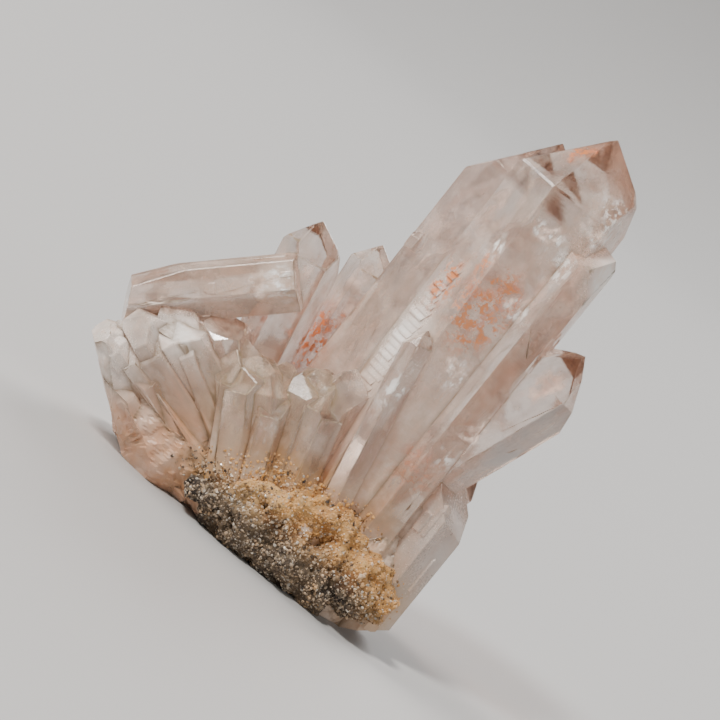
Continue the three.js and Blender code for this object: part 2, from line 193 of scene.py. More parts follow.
# Small parallel growths on a crystal's faces: faces, span along the axis as shares of its length,
# number, half widths, and how far they stand proud.
FRONT = (0, 1, 5)
BACK = (2, 3, 4)
SPROUTS = {
    "main_point": ((0, 1, 2), (0.45, 0.9), 6, (1.8, 3.6), 0.2),
    "companion_point": ((4, 3), (0.3, 0.75), 4, (1.4, 2.6), 0.15),
    "satellite_point": (FRONT, (0.3, 0.85), 5, (0.8, 1.8), 0.2),
    "leaning_point": (FRONT, (0.2, 0.6), 6, (1.4, 2.6), 0.2),
    "upright_point": ((0, 5), (0.3, 0.6), 2, (1.0, 1.8), 0.15),
    "lying_point": (FRONT, (0.1, 0.7), 4, (1.2, 2.2), 0.2),
    "left_slab": (FRONT, (0.3, 0.95), 4, (2.0, 3.2), 0.35),
    "low_slab": (FRONT, (0.3, 0.95), 6, (1.4, 2.8), 0.35),
    "peach_column": (FRONT, (0.3, 0.9), 2, (1.6, 2.6), 0.3),
    "bright_column": (FRONT, (0.3, 0.7), 2, (1.4, 2.4), 0.25),
    "inner_column": (FRONT, (0.3, 0.9), 2, (1.6, 2.6), 0.3),
    "lower_body": (FRONT, (0.3, 0.8), 6, (1.4, 3.2), 0.25),
    "right_flange": (FRONT, (0.3, 0.9), 6, (1.2, 2.6), 0.35),
    "shoulder_block": ((1, 2, 3, 5), (0.3, 0.95), 8, (1.2, 2.8), 0.5),
    "back_left_slab": (BACK, (0.3, 0.95), 8, (1.2, 2.8), 0.5),
    "back_low_slab": (BACK, (0.3, 0.95), 8, (1.2, 2.8), 0.5),
    "back_middle_block": (BACK, (0.3, 0.95), 8, (1.2, 3.0), 0.5),
    "back_right_block": (BACK, (0.3, 0.95), 8, (1.2, 3.0), 0.5),
    "back_stub": (BACK, (0.4, 0.9), 4, (0.8, 1.8), 0.3),
}

# How hazy a crystal is at its root and at its tip: 0 is clear and 1 is opaque.
HAZE = {
    "main_point": (0.72, 0.2), "companion_point": (0.6, 0.2), "satellite_point": (0.5, 0.12),
    "leaning_point": (0.7, 0.12), "upright_point": (0.45, 0.18), "back_point": (0.6, 0.25),
    "lying_point": (0.5, 0.26), "blade_point": (0.5, 0.25), "lower_body": (0.8, 0.45),
    "bright_column": (0.6, 0.3), "inner_column": (0.6, 0.3), "back_stub": (0.7, 0.25),
    "right_stub": (0.7, 0.25), "back_short_point": (0.7, 0.25),
}
for part in ("block", "filler", "face"):
    HAZE["centre_" + part] = HAZE["middle_" + part] = (0.65, 0.3)
BLOCK_HAZE = (0.75, 0.4)


def srgb(red, green, blue):
    """A linear colour from the 0 to 255 values that a screen shows."""
    shares = (value / 255 for value in (red, green, blue))
    return tuple(s / 12.92 if s <= 0.04045 else ((s + 0.055) / 1.055) ** 2.4 for s in shares)


def rgba(red, green, blue):
    return (*srgb(red, green, blue), 1.0)


PINK_GREY = srgb(206, 184, 166)
GREEN_CREAM = srgb(212, 200, 168)
PEACH = srgb(206, 156, 120)
OCHRE = srgb(190, 146, 88)
GREY_WHITE = srgb(206, 200, 194)
WHITE = srgb(244, 240, 234)
RED_BROWN = srgb(178, 134, 112)
RUST = srgb(196, 114, 58)
LILAC = srgb(208, 192, 190)

# Where the massive quartz takes another colour: middle, radii, colour and strength.
TINTS = (
    ((8, -6, 4), (14, 14, 7), PEACH, 0.9),
    ((20, -9, 3), (12, 10, 6), PEACH, 0.9),
    ((1, -6, 14), (8, 9, 9), WHITE, 0.8),
    ((7, -9, 22.6), (6, 6, 5.5), WHITE, 1.0),
    ((12, -8, 15), (8, 8, 7), PEACH, 0.5),
    ((26, -9, 8), (11, 9, 6), OCHRE, 0.85),
    ((40, -10, 14), (12, 8, 6), OCHRE, 0.8),
    ((56, -8, 8), (13, 10, 8), OCHRE, 0.95),
    ((22, -9, 22), (8, 9, 9), GREEN_CREAM, 0.7),
    ((30, -9, 27), (8, 8, 8), GREEN_CREAM, 0.6),
    ((17, -9, 11), (7, 8, 8), PEACH, 0.8),
    ((34, -10, 17), (14, 8, 6), OCHRE, 0.75),
    ((50, -9, 20), (9, 8, 7), OCHRE, 0.5),
    ((62, -2, 20), (7, 9, 13), GREY_WHITE, 0.9),
    ((24, 10, 34), (8, 6, 10), RUST, 0.55),
    ((34, 14, 6), (24, 10, 7), PEACH, 0.5),
    ((46, 0, 88), (9, 9, 7), RED_BROWN, 0.8),
    ((41, 0, 86), (5, 6, 5), RUST, 0.3),
    ((34, 4, 70), (9, 8, 18), LILAC, 0.8),
    ((35, -6, 45), (4, 6, 13), WHITE, 1.0),
    ((40, -10, 36), (3, 4, 10), WHITE, 0.5),
    ((56.6, -5.6, 72), (4, 5, 6), WHITE, 1.3),
)

# Rusty films just under the surface: middle, radii and strength.
RUSTS = (
    ((44, -8, 57), (5, 6, 8.6), 1.0),
    ((36, -6, 56), (2.6, 5, 5), 0.8),
    ((40, -7, 63), (3, 4, 4), 0.5),
    ((24, 8, 33), (6, 7, 7), 0.8),
    ((41, -2, 86), (3.4, 4, 3), 0.5),
    ((52, -7, 28), (5, 5, 5), 0.35),
)


# Healed fractures near the surface, painted white as highlights where they catch the light: middle,
# radii and strength.
GLINT_PATCHES = (
    ((44.5, -8, 73), (4.2, 6, 2.0), 1.0),
    ((52.4, -8, 78), (3.4, 6, 3.4), 1.0),
    ((48.2, -8, 60), (2.6, 6, 2.0), 1.0),
    ((46.7, -8, 45.5), (2.2, 6, 3.0), 1.0),
    ((49.5, -8, 70), (3.0, 6, 5.0), 0.7),
    ((39.5, -7, 66), (2.0, 6, 3.0), 0.7),
    ((40.5, -9, 38), (2.4, 6, 6.0), 0.9),
    ((36.2, -8, 42), (2.6, 6, 5.0), 0.7),
    ((15, -6, 39.4), (3.6, 6, 3.2), 1.0),
    ((50.6, -4, 82), (4.0, 6, 3.0), 0.8),
    ((28, -10, 20), (2.0, 6, 5.0), 0.6),
    ((54, -8, 34), (2.6, 6, 3.4), 0.6),
)

# Frosted or white broken places, and clear windows: middle, radii and strength.
FROSTS = (
    ((56.6, -5.5, 72.4), (3.6, 5, 6), 1.0),
    ((52.5, -4, 79), (3, 4, 3), 0.5),
    ((50, -6, 74), (6, 6, 12), 0.35),
    ((15.4, -3, 40), (4, 5, 4), 0.9),
    ((7.6, -10, 22.6), (5.5, 6, 5), 0.9),
    ((1, -6, 14), (6, 8, 8), 0.5),
    ((62, -2, 20), (7, 9, 12), 0.5),
    ((35, -7, 45), (4, 6, 13), 0.75),
)
CLEARINGS = (
    ((17, -3, 46), (5, 6, 8), 0.6),
    ((60, -6, 52), (6, 8, 9), 0.6),
    ((36, -3, 74), (5, 6, 14), 0.3),
)

# Where small grains sit on the quartz: middle, radii and amount.
DRUSE = (
    ((26, -9, 8), (7, 8, 4), 0.6),
    ((38, -10, 15), (7, 8, 3), 1.0),
    ((30, -10, 12), (5, 8, 3), 0.8),
    ((57, -8, 8), (6, 8, 5), 0.8),
    ((47, -9, 16.5), (6, 8, 3), 0.6),
)
CRUST_GRAINS = {"number": 6000, "least": 0.13, "spread": 0.36}
DRUSE_GRAINS = {"number": 1600, "least": 0.13, "spread": 0.4}

# Veils and healed fractures inside the clear points: crystal, middle, normal, half sizes.
VEILS = (
    ("main_point", (46, -2, 60), (0.5, 0.7, 0.5), (6, 9)),
    ("main_point", (42, -3, 70), (-0.6, 0.6, 0.5), (6, 8)),
    ("main_point", (48, -2, 76), (0.7, 0.5, 0.5), (6, 6)),
    ("main_point", (44, -1, 82), (-0.4, 0.8, 0.4), (5, 6)),
    ("main_point", (50, -3, 66), (0.8, 0.5, -0.3), (5, 9)),
    ("main_point", (40, -3, 56), (-0.8, 0.5, 0.3), (5, 8)),
    ("main_point", (46, -2, 48), (0.2, 0.8, 0.6), (8, 7)),
    ("main_point", (44, 3, 64), (0.1, 0.9, 0.3), (8, 12)),
    ("companion_point", (34, 2, 66), (0.3, 0.9, 0.2), (5, 12)),
    ("companion_point", (32, 1, 56), (-0.7, 0.6, 0.3), (4, 8)),
    ("satellite_point", (53, -6, 70), (0.6, 0.7, 0.4), (3, 6)),
    ("satellite_point", (52, -5, 60), (-0.5, 0.8, 0.3), (4, 8)),
    ("leaning_point", (57, -4, 46), (0.5, 0.7, 0.5), (5, 6)),
    ("leaning_point", (54, -3, 36), (-0.4, 0.7, 0.6), (6, 7)),
    ("leaning_point", (60, -4, 52), (0.7, 0.6, -0.3), (3, 5)),
    ("upright_point", (16, 1, 40), (0.6, 0.7, 0.3), (4, 6)),
    ("lying_point", (6, -2, 31), (0.2, 0.8, 0.5), (8, 4)),
    ("lying_point", (0, -2, 25), (-0.6, 0.7, 0.3), (4, 3)),
    ("back_point", (26, 9, 44), (0.4, 0.8, 0.3), (3, 6)),
)
STAINS = (
    ("main_point", (43, -7.6, 57), (-0.35, -0.93, 0.05), (4, 6.5)),
    ("main_point", (46, -7.2, 61), (0.1, -0.98, 0.1), (3, 4)),
    ("main_point", (37.4, -5, 55), (-0.8, -0.6, 0), (2.4, 5)),
    ("main_point", (41, -3, 86), (-0.6, -0.6, 0.5), (2.4, 3)),
    ("back_point", (25, 7, 38), (0.1, -0.99, 0), (3, 7)),
    ("leaning_point", (50, -6, 30), (0.1, -0.97, 0.2), (3, 4)),
)
# White sheets painted as highlights where fractures inside the points catch the light: crystal,
# middle, normal, half sizes.
GLINTS = (
    ("main_point", (44.5, -5, 73), (-0.4, -0.8, 0.5), (2.6, 2.2)),
    ("main_point", (50, -5, 78), (0.3, -0.8, 0.5), (2.4, 2.6)),
    ("main_point", (48.2, -6, 60), (-0.2, -0.8, 0.5), (2.4, 2.6)),
    ("main_point", (46.7, -7, 46), (-0.3, -0.8, 0.5), (3.4, 2.2)),
    ("satellite_point", (52.5, -6, 76), (0.3, -0.7, 0.6), (2.2, 2.2)),
    ("leaning_point", (55, -6, 40), (-0.3, -0.7, 0.6), (2.6, 2.4)),
    ("lying_point", (13, -4, 37.4), (-0.3, -0.7, 0.6), (2.8, 2.4)),
)

# How deep the narrow planes cut a crystal's edges, and the longest edges of the two meshes.
EDGE_CUT = 0.055
SMALL_EDGE_CUT = 0.03
BODY_EDGE = 1.8
CRUST_EDGE = 4.0

# Sizes and heights of the coarse and fine noise on the lumps, the depth of the crust's pits, and
# how far the crust reaches into the quartz.
ROOT_RELIEF = ((7, 1.8), (3, 0.8))
CRUST_RELIEF = ((4.2, 1.5), (1.7, 0.9))
CRUST_PITS = 2.6
CRUST_OVERLAP = 0.4

# Roughness of a point's faces, a block's faces, the broken root and frosted places.
POINT_ROUGHNESS = 0.05
BLOCK_ROUGHNESS = 0.1
ROOT_ROUGHNESS = 0.35
FROST_ROUGHNESS = 0.6
QUARTZ_IOR = 1.544

# The studio, in metres: floor, lights (place, size, power, colour), surroundings and camera.
BOWL = {"flat": 1.4, "bend": 1.6, "slope": 32, "reach": 7.0, "steps": 16, "around": 96}
AIM = Vector((0.002764, -0.003052, 0.0366))
LIGHTS = (
    ("key_light", (-0.95, -0.95, 1.5), 0.34, 44.0, (1.0, 0.97, 0.94)),
    ("soft_box", (-1.5, 0.1, 1.1), 1.1, 38.0, (1.0, 0.98, 0.96)),
    ("fill_light", (1.5, -1.2, 0.7), 0.9, 9.0, (0.96, 0.98, 1.0)),
    ("back_light", (0.5, 1.5, 1.3), 1.2, 32.0, (1.0, 1.0, 1.0)),
)
WORLD = {"colour": (0.62, 0.63, 0.65, 1.0), "strength": 0.36}
CAMERA = {"down": 8, "roll": 38, "distance": 0.52, "lens": 156.0, "sensor": 36.0, "nearest": 0.01}


def unit(vector):
    vector = np.asarray(vector, float)
    return vector / np.linalg.norm(vector)


def lattice_value(i, j, k, seed):
    """A fixed value from -1 to 1 for each corner of the noise's cells."""
    s = np.sin(i * 127.1 + j * 311.7 + k * 74.7 + seed * 53.3) * 43758.5453
    return (s - np.floor(s)) * 2 - 1


def smooth_noise(points, seed):
    """Noise from -1 to 1 on cells of size 1, the same as the part's."""
    cell = np.floor(points)
    t = points - cell
    i, j, k = cell.T
    u, v, w = (t * t * (3 - 2 * t)).T

    def row(jj, kk):
        start = lattice_value(i, jj, kk, seed)
        return start + (lattice_value(i + 1, jj, kk, seed) - start) * u

    low = row(j, k) + (row(j + 1, k) - row(j, k)) * v
    high = row(j, k + 1) + (row(j + 1, k + 1) - row(j, k + 1)) * v
    return low + (high - low) * w


def crystal(root, tip, turn, sides, rises, *cuts):
    """One row of a table of crystals, with its length."""
    root = np.array(root, float)
    tip = np.array(tip, float)
    return {"root": root, "tip": tip, "length": np.linalg.norm(tip - root), "turn": turn,
            "sides": sides, "rises": rises, "cuts": cuts}


def crystal_axes(spec):
    """The crystal's axis, and the front and right directions square to it."""
    axis = unit(spec["tip"] - spec["root"])
    front = unit(np.array((0.0, -1.0, 0.0)) + axis * axis[1])
    return axis, front, np.cross(axis, front)


def face_normal(spec, face):
    """The outward normal of an upright face, counted from the one facing the front."""
    axis, front, right = crystal_axes(spec)
    angle = math.radians(60 * face + spec["turn"])
    return front * math.cos(angle) + right * math.sin(angle)


def crystal_planes(spec, grow=0.0):
    """Normals and offsets: the foot, six upright faces and six end faces, then the cuts."""
    axis = crystal_axes(spec)[0]
    normals = [-axis]
    offsets = [-axis @ spec["root"] + grow]
    for face in range(6):
        out = face_normal(spec, face)
        slant = out * math.sin(END_FACE_ANGLE) + axis * math.cos(END_FACE_ANGLE)
        normals += [out, slant]
        offsets += [out @ spec["root"] + spec["sides"][face] + grow]
        offsets += [slant @ (spec["tip"] + axis * spec["rises"][face]) + grow]
    for normal, point in spec["cuts"]:
        normals.append(unit(normal))
        offsets.append(unit(normal) @ np.array(point, float) + grow)
    return np.array(normals), np.array(offsets)


def corners_of(normals, offsets):
    """Points where three planes meet and that lie inside all the others."""
    triples = np.array(list(itertools.combinations(range(len(offsets)), 3)))
    sets = normals[triples]
    kept = np.abs(np.linalg.det(sets)) > 1e-4
    points = np.linalg.solve(sets[kept], offsets[triples[kept]][..., None])[..., 0]
    return points[(points @ normals.T <= offsets + 1e-6).all(1)]


def chamfered(normals, offsets, depth, rng):
    """Adds a narrow plane along each edge, so that the edges catch the light."""
    corners = corners_of(normals, offsets)
    touching = np.abs(corners @ normals.T - offsets) < 1e-5
    more_normals = []
    more_offsets = []
    for a, b in itertools.combinations(range(len(offsets)), 2):
        shared = corners[touching[:, a] & touching[:, b]]
        if len(shared) < 2 or np.ptp(shared, axis=0).max() < 0.3:
            continue
        between = unit(normals[a] + normals[b])
        more_normals.append(between)
        more_offsets.append(between @ shared[0] - depth * rng.uniform(0.5, 1.6))
    return np.vstack((normals, more_normals)), np.append(offsets, more_offsets)


def new_object(name, mesh):
    made = bpy.data.objects.new(name, mesh)
    bpy.context.scene.collection.objects.link(made)
    return made


def bmesh_object(name, shape):
    """An object from a bmesh, which is freed."""
    mesh = bpy.data.meshes.new(name)
    shape.to_mesh(mesh)
    shape.free()
    return new_object(name, mesh)


def mesh_object(name, points, faces):
    mesh = bpy.data.meshes.new(name)
    mesh.from_pydata(points.tolist(), [], faces)
    mesh.update()
    return new_object(name, mesh)


def hull_object(name, corners):
    shape = bmesh.new()
    for corner in corners:
        shape.verts.new(corner)
    bmesh.ops.remove_doubles(shape, verts=shape.verts, dist=1e-3)
    hull = bmesh.ops.convex_hull(shape, input=shape.verts)
    loose = [item for item in hull["geom_interior"] if isinstance(item, bmesh.types.BMVert)]
    bmesh.ops.delete(shape, geom=loose, context="VERTS")
    bmesh.ops.recalc_face_normals(shape, faces=shape.faces)
    return bmesh_object(name, shape)


def lump_object(name, size, level, relief, grow=0.0, pits=0.0):
    """A stretched ball roughened by coarse and fine noise, and pitted."""
    shape = bmesh.new()
    bmesh.ops.create_icosphere(shape, subdivisions=level, radius=1.0)
    made = bmesh_object(name, shape)
    coarse, fine = relief
    ways = vertices_of(made.data)
    ways /= np.linalg.norm(ways, axis=1)[:, None]
    spots = ways * size["radii"]
    swell = coarse[1] * smooth_noise(spots / coarse[0], size["seed"])
    swell += fine[1] * smooth_noise(spots / fine[0], size["seed"] + 7)
    swell -= pits * np.clip(smooth_noise(spots / 2.7, size["seed"] + 31) + 0.1, 0, 1)
    swell -= pits * 0.5 * np.clip(smooth_noise(spots / 1.1, size["seed"] + 37), 0, 1)
    set_vertices(made.data, spots + ways * (swell + grow)[:, None] + size["middle"])
    return made


def vertices_of(mesh):
    flat = np.empty(len(mesh.vertices) * 3, np.float32)
    mesh.vertices.foreach_get("co", flat)
    return flat.reshape(-1, 3).astype(float)


def set_vertices(mesh, points):
    mesh.vertices.foreach_set("co", np.asarray(points, np.float32).ravel())
    mesh.update()


def block_beyond(face, reach=120.0):
    """A big block on the far side of a broken face."""
    normal = unit(face[0])
    middle = np.array(face[1], float) + normal * reach
    shape = bmesh.new()
    bmesh.ops.create_cube(shape, size=2 * reach)
    turn = Vector((0, 0, 1)).rotation_difference(Vector(normal)).to_matrix().to_4x4()
    bmesh.ops.transform(shape, matrix=Matrix.Translation(middle) @ turn, verts=shape.verts)
    return bmesh_object("break", shape)


def combine(base, steps):
    """Applies (operation, objects) steps to base and removes the objects."""
    for operation, others in steps:
        group = bpy.data.collections.new("operands")
        for other in others:
            group.objects.link(other)
        step = base.modifiers.new("step", "BOOLEAN")
        step.solver = "MANIFOLD"
        step.operation = operation
        step.operand_type = "COLLECTION"
        step.collection = group
    bpy.context.view_layer.update()
    graph = bpy.context.evaluated_depsgraph_get()
    mesh = bpy.data.meshes.new_from_object(base.evaluated_get(graph))
    base.modifiers.clear()
    base.data = mesh
    for _, others in steps:
        for other in others:
            bpy.data.objects.remove(other)


def parallel_growths(rng):
    """Specs of the small growths, each with the name of the crystal it grows on."""
    found = []
    for parent, (faces, span, number, widths, proud) in SPROUTS.items():
        spec = CRYSTALS[parent]
        axis = crystal_axes(spec)[0]
        for _ in range(number):
            face = int(rng.choice(faces))
            out = face_normal(spec, face)
            side = spec["sides"][face]
            width = rng.uniform(*widths)
            reach = rng.uniform(3.0, 9.0)
            end = rng.uniform(*span) * spec["length"]
            shift = rng.uniform(-0.5, 0.5) * side
            stand = side - width + proud * rng.uniform(0.4, 1.2)
            top = spec["root"] + axis * end + out * stand + np.cross(axis, out) * shift
            sides = width * rng.uniform(0.6, 1.0, 6)
            sides[face] = width
            rises = rng.uniform(0.0, 1.6, 6) * width * 0.5
            found.append((parent, crystal(top - axis * reach, top, spec["turn"], sides, rises)))
    return found


def rib_corners():
    """Corners of the stepped ribs, each a low wedge across the face."""
    spec = CRYSTALS["main_point"]
    axis = crystal_axes(spec)[0]
    out = face_normal(spec, RIBS["face"])
    across = np.cross(axis, out)
    rng = np.random.default_rng(5)
    step = (RIBS["end"] - RIBS["start"]) / RIBS["count"]
    base = spec["root"] + out * spec["sides"][RIBS["face"]] + across * RIBS["shift"]
    for number in range(RIBS["count"]):
        foot = base + axis * (RIBS["start"] + number * step)
        taper = 1 - 0.3 * (number / RIBS["count"]) ** 2
        left, right = RIBS["half_width"] * taper * rng.uniform(0.55, 1.1, 2)
        proud = RIBS["proud"] * rng.uniform(0.35, 1.0)
        low = foot - out * 1.0
        high = foot + out * proud
        end = axis * step * 0.96
        rows = ((low, 1), (high, 0.8), (low + end, 1), (high + end * 0.25, 0.86), (foot + end, 1))
        yield np.array([spot + across * side * share for spot, share in rows
                        for side in (-left, right)])


def quartz_body(rng):
    """The grown-together quartz as one closed mesh in layout millimetres."""
    added = []
    for name, spec in FAMILY:
        depth = EDGE_CUT if spec is CRYSTALS[name] else SMALL_EDGE_CUT
        planes = chamfered(*crystal_planes(spec), depth, rng)
        added.append(hull_object(name, corners_of(*planes)))
    added += [hull_object("rib", corners) for corners in rib_corners()]
    added += [lump_object("lump", size, 6, ROOT_RELIEF) for size in ROOT_LUMPS]
    first = added.pop(0)
    broken = [block_beyond(face) for face in BREAKS]
    combine(first, [("UNION", added), ("DIFFERENCE", broken)])
    first.name = "quartz_body"
    return first


def refine(mesh, longest):
    """Turns a mesh into triangles and halves edges longer than longest, seven times at most."""
    shape = bmesh.new()
    shape.from_mesh(mesh)
    bmesh.ops.remove_doubles(shape, verts=shape.verts, dist=0.01)
    bmesh.ops.dissolve_limit(shape, angle_limit=0.002, verts=shape.verts, edges=shape.edges)
    bmesh.ops.triangulate(shape, faces=shape.faces, quad_method="BEAUTY", ngon_method="BEAUTY")
    for _ in range(7):
        long_edges = [edge for edge in shape.edges if edge.calc_length() > longest]
        if not long_edges:
            break
        bmesh.ops.subdivide_edges(shape, edges=long_edges, cuts=1)
        many = [face for face in shape.faces if len(face.verts) > 3]
        bmesh.ops.triangulate(shape, faces=many, quad_method="SHORT_EDGE", ngon_method="EAR_CLIP")
    shape.to_mesh(mesh)
    shape.free()


def face_table(mesh):
    """Corner indices, middles and normals of a mesh of triangles."""
    corners = np.empty(len(mesh.polygons) * 3, np.int32)
    mesh.polygons.foreach_get("vertices", corners)
    corners = corners.reshape(-1, 3)
    points = vertices_of(mesh)[corners]
    middles = points.mean(1)
    normals = np.cross(points[:, 1] - points[:, 0], points[:, 2] - points[:, 0])
    normals /= np.linalg.norm(normals, axis=1)[:, None] + 1e-12
    return corners, middles, normals


def owners_of(middles, normals):
    """For each face the index of the crystal it belongs to, or -1 on the massive root, and
    whether it is an upright face. Faces of the ribs belong to the main point."""
    best = np.full(len(middles), 0.05)
    owner = np.full(len(middles), -1)
    upright = np.zeros(len(middles))
    for index, (_, spec) in enumerate(FAMILY):
        plane_normals, offsets = crystal_planes(spec)
        depths = middles @ plane_normals.T - offsets
        inside = np.abs(depths.max(1))
        facing = (normals @ plane_normals.T).max(1)
        score = inside + (1 - facing) * 0.04
        better = (inside < 0.2) & (score < best) & (facing > 0.8)
        owner[better] = index
        best[better] = score[better]
        plane = depths.argmax(1)[better]
        upright[better] = (plane % 2 == 1) & (plane < 13)
    main = list(CRYSTALS).index("main_point")
    plane_normals, offsets = crystal_planes(CRYSTALS["main_point"])
    near = (middles @ plane_normals.T - offsets).max(1)
    owner[(owner < 0) & (near > -0.1) & (near < 0.6) & (middles[:, 2] > 20)] = main
    return owner, upright


def blob(points, middle, radii):
    """1 round middle out to a third of the radii, and 0 from a third beyond them."""
    reach = np.linalg.norm((points - np.array(middle)) / np.array(radii), axis=1)
    return np.clip(1.35 - reach, 0, 1) ** 1.5


def strongest(points, places):
    """The strongest of several blobs at each point."""
    found = np.zeros(len(points))
    for middle, radii, strength in places:
        found = np.maximum(found, blob(points, middle, radii) * strength)
    return found


def tint_at(points):
    """The milky quartz's colour at each point."""
    colour = np.tile(np.array(PINK_GREY), (len(points), 1))
    wobble = 1 + 0.25 * smooth_noise(points / 3.1, 91)
    for middle, radii, target, strength in TINTS:
        share = np.clip(blob(points, middle, radii) * strength * wobble, 0, 1)[:, None]
        colour = colour * (1 - share) + np.array(target) * share
    return colour


def paint(mesh, owner, upright):
    """Writes each corner's place in its crystal (grain), its colour (tint), its marks (red on
    upright faces, green for roughness, blue for haze) and its films and painted light (red for
    rust, green for healed fractures painted white as highlights, blue for painted shade along the
    seams)."""
    corners = face_table(mesh)[0]
    points = vertices_of(mesh)[corners].reshape(-1, 3)
    owner = np.repeat(owner, 3)
    upright = np.repeat(upright, 3)
    grain = points.copy()
    haze = np.ones(len(points))
    rough = np.full(len(points), ROOT_ROUGHNESS)
    for index, (name, _) in enumerate(FAMILY):
        mine = owner == index
        if not mine.any():
            continue
        parent = CRYSTALS[name]
        axis, front, right = crystal_axes(parent)
        local = points[mine] - parent["root"]
        grain[mine] = np.stack((local @ right, local @ front, local @ axis), 1) + 13 * (index % 7)
        along = np.clip((local @ axis) / parent["length"], 0, 1)
        low, high = HAZE.get(name, BLOCK_HAZE)
        share = np.clip((along - 0.12) / 0.6, 0, 1)
        haze[mine] = low + (high - low) * share * share * (3 - 2 * share)
        rough[mine] = POINT_ROUGHNESS if name in POINTS else BLOCK_ROUGHNESS
    low_down = np.clip((24 - points[:, 2]) / 14, 0, 1)
    haze = np.clip(haze + low_down * 0.35, 0, 1)
    for middle, radii, strength in FROSTS:
        share = blob(points, middle, radii) * strength
        haze = haze + (1 - haze) * share
        rough = rough + (FROST_ROUGHNESS - rough) * share
    for middle, radii, strength in CLEARINGS:
        haze = haze * (1 - blob(points, middle, radii) * strength)
    films = (strongest(points, RUSTS), strongest(points, GLINT_PATCHES), seams(points, owner))
    put_vectors(mesh, "grain", grain)
    put_colours(mesh, "films", np.stack(films, 1))
    put_colours(mesh, "tint", tint_at(points))
    put_colours(mesh, "marks", np.stack((upright, rough, haze), 1))


def seams(points, owner):
    """1 where two crystals of the cluster meet, falling to 0 within a millimetre. This is where
    painted shade darkens the creases between crystals.
    """
    names = list(CRYSTALS)
    parents = np.array([names.index(name) for name, _ in FAMILY])
    mine = np.where(owner >= 0, parents[owner], -1)
    found = np.zeros(len(points))
    for index, spec in enumerate(CRYSTALS.values()):
        other = mine != index
        normals, offsets = crystal_planes(spec)
        gap = np.abs((points[other] @ normals.T - offsets).max(1))
        found[other] = np.maximum(found[other], 1 - gap)
    return np.clip(found, 0, 1)


def put_vectors(mesh, name, values):
    made = mesh.attributes.new(name, "FLOAT_VECTOR", "CORNER")
    made.data.foreach_set("vector", np.asarray(values, np.float32).ravel())


def put_colours(mesh, name, values):
    made = mesh.attributes.new(name, "FLOAT_COLOR", "CORNER")
    full = np.ones((len(values), 4), np.float32)
    full[:, :3] = values
    made.data.foreach_set("color", full.ravel())


def in_metres(obj):
    obj.data.transform(Matrix.Scale(MM, 4) @ Matrix.Translation(-MIDDLE))
    obj.data.update()


def stay_inside(obj, low, high, margin=2e-5):
    points = vertices_of(obj.data)
    set_vertices(obj.data, np.clip(points, np.array(low) + margin, np.array(high) - margin))


def roughen(mesh, owner):
    """Hackly broken relief on the massive root, none on the crystals' faces."""
    corners = face_table(mesh)[0]
    points = vertices_of(mesh)
    on_crystal = np.zeros(len(points), bool)
    on_crystal[corners[owner >= 0]] = True
    normals = np.empty(len(points) * 3, np.float32)
    mesh.vertex_normals.foreach_get("vector", normals)
    normals = normals.reshape(-1, 3)
    relief = 0.5 * smooth_noise(points / 1.9, 61) + 0.3 * smooth_noise(points / 0.9, 67)
    steps = np.round(relief * 3) / 3 * 0.6 + relief * 0.4
    free = ~on_crystal & (points[:, 2] > 0.3)
    points[free] += (normals * (steps * 0.8 - 0.2)[:, None])[free]
    set_vertices(mesh, points)


def crust_object():
    """The crust, cut so that it reaches a little into the quartz."""
    lumps = [lump_object("ochre_crust", size, level, CRUST_RELIEF, pits=CRUST_PITS)
             for size, level in zip(CRUST_LUMPS, (7, 6))]
    cut = [hull_object("inner", corners_of(*crystal_planes(spec, -CRUST_OVERLAP)))
           for spec in CRYSTALS.values()]
    cut += [lump_object("inner", size, 5, ROOT_RELIEF, -CRUST_OVERLAP) for size in ROOT_LUMPS]
    cut += [block_beyond(FLOOR), block_beyond(CRUST_BREAK)]
    combine(lumps[0], [("UNION", lumps[1:]), ("DIFFERENCE", cut)])
    return lumps[0]


def grain_shapes(name, spots, ways, sizes, tones, rng):
    """Joins many small angular grains into one mesh. Each has its own tone."""
    t = (1 + 5 ** 0.5) / 2
    base = np.array([(-1, t, 0), (1, t, 0), (-1, -t, 0), (1, -t, 0), (0, -1, t), (0, 1, t),
                     (0, -1, -t), (0, 1, -t), (t, 0, -1), (t, 0, 1), (-t, 0, -1), (-t, 0, 1)])
    base /= np.linalg.norm(base[0])
    faces = np.array([(0, 11, 5), (0, 5, 1), (0, 1, 7), (0, 7, 10), (0, 10, 11), (1, 5, 9), (5, 11, 4),
                      (11, 10, 2), (10, 7, 6), (7, 1, 8), (3, 9, 4), (3, 4, 2), (3, 2, 6), (3, 6, 8),
                      (3, 8, 9), (4, 9, 5), (2, 4, 11), (6, 2, 10), (8, 6, 7), (9, 8, 1)])
    count = len(spots)
    shapes = base[None] * rng.uniform(0.55, 1.0, (count, 12, 1)) * rng.uniform(0.6, 1.2, (count, 1, 3))
    turns = np.linalg.qr(rng.normal(size=(count, 3, 3)))[0]
    shapes = np.einsum("nij,nkj->nki", turns, shapes) * sizes[:, None, None]
    points = (shapes + (spots + ways * sizes[:, None] * -0.15)[:, None]).reshape(-1, 3)
    index = (faces[None] + 12 * np.arange(count)[:, None, None]).reshape(-1, 3)
    made = mesh_object(name, points, index.tolist())
    put_colours(made.data, "marks", np.repeat(tones, faces.size, axis=0))
    return made


def spots_on(mesh, number, rng, wanted):
    """Random places on a mesh, with their normals, more of them where wanted says so."""
    corners, middles, normals = face_table(mesh)
    points = vertices_of(mesh)[corners]
    area = np.linalg.norm(np.cross(points[:, 1] - points[:, 0], points[:, 2] - points[:, 0]), axis=1)
    weight = area * wanted(middles, normals)
    chosen = rng.choice(len(area), number, p=weight / weight.sum())
    shares = rng.dirichlet((1, 1, 1), number)
    return (points[chosen] * shares[..., None]).sum(1), normals[chosen]


